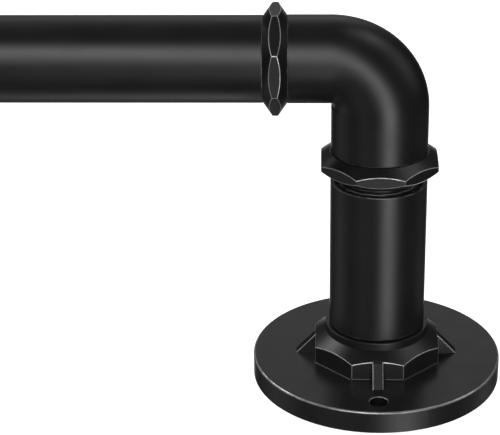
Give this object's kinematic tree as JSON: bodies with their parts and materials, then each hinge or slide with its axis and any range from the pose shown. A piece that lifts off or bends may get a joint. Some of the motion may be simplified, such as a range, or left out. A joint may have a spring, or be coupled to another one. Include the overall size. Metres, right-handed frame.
{
  "type": "curtain rod with wall returns",
  "caption": "Telescopic curtain rod whose ends turn back to the wall through elbows, octagon lock nuts and short tubes on round screw-down flanges.",
  "frame": {"origin": "on the wall plane, midway between the two flanges", "axes": "+X along the rod towards the outer (thicker) tube's bracket, +Z straight out from the wall, +Y across the rod along each flange's two screw holes"},
  "size_m": [0.8374, 0.0754, 0.1178],
  "materials": {
    "black_coat": "satin powder coat, fine texture",
    "black_nut": "satin powder coat over turned steel",
    "black_thread": "black oxide, oiled, semi-matt",
    "plated_steel": "bright zinc plate",
    "black_nylon": "moulded nylon, matt"
  },
  "bodies": {
    "right_standoff": {"right_wall_flange": "black_coat", "right_flange_nipple": "plated_steel", "right_foot_insert": "plated_steel", "right_return_tube": "black_coat", "right_head_insert": "plated_steel"},
    "right_corner": {"right_elbow": "black_coat", "right_elbow_nipple": "black_thread", "right_rod_nut": "black_nut", "right_rod_nipple": "plated_steel", "right_rod_insert": "plated_steel", "outer_rod_tube": "black_coat", "mouth_bush": "black_nylon"},
    "right_lock_nut": {"right_return_nut": "black_nut"},
    "rod_guide": {"guide_bush": "black_nylon"},
    "left_corner": {"left_elbow": "black_coat", "left_elbow_nipple": "black_thread", "left_rod_nut": "black_nut", "left_rod_nipple": "plated_steel", "left_rod_insert": "plated_steel", "slim_rod_tube": "black_coat", "end_collar": "black_nut"},
    "left_lock_nut": {"left_return_nut": "black_nut"},
    "left_standoff": {"left_wall_flange": "black_coat", "left_flange_nipple": "plated_steel", "left_foot_insert": "plated_steel", "left_return_tube": "black_coat", "left_head_insert": "plated_steel"}
  },
  "joints": [
    {"name": "right_elbow_swivel", "type": "hinge", "parent": "right_standoff", "child": "right_corner", "pos_m": [0.381, 0, 0.0745], "axis": [0, 0, 1], "range_deg": [-180, 180]},
    {"name": "right_nut_turn", "type": "hinge", "parent": "right_corner", "child": "right_lock_nut", "pos_m": [0.381, 0, 0.0745], "axis": [0, 0, 1], "range_deg": [-600, 0]},
    {"name": "rod_telescope", "type": "slide", "parent": "right_corner", "child": "rod_guide", "axis": [-1, 0, 0], "range_m": [-0.051, 0.457]},
    {"name": "rod_twist", "type": "hinge", "parent": "rod_guide", "child": "left_corner", "pos_m": [0, 0, 0.1026], "axis": [1, 0, 0], "continuous": true},
    {"name": "left_elbow_swivel", "type": "hinge", "parent": "left_corner", "child": "left_standoff", "pos_m": [-0.381, 0, 0.0745], "axis": [0, 0, 1], "range_deg": [-180, 180]},
    {"name": "left_nut_turn", "type": "hinge", "parent": "left_corner", "child": "left_lock_nut", "pos_m": [-0.381, 0, 0.0745], "axis": [0, 0, 1], "range_deg": [-600, 0]}
  ]
}
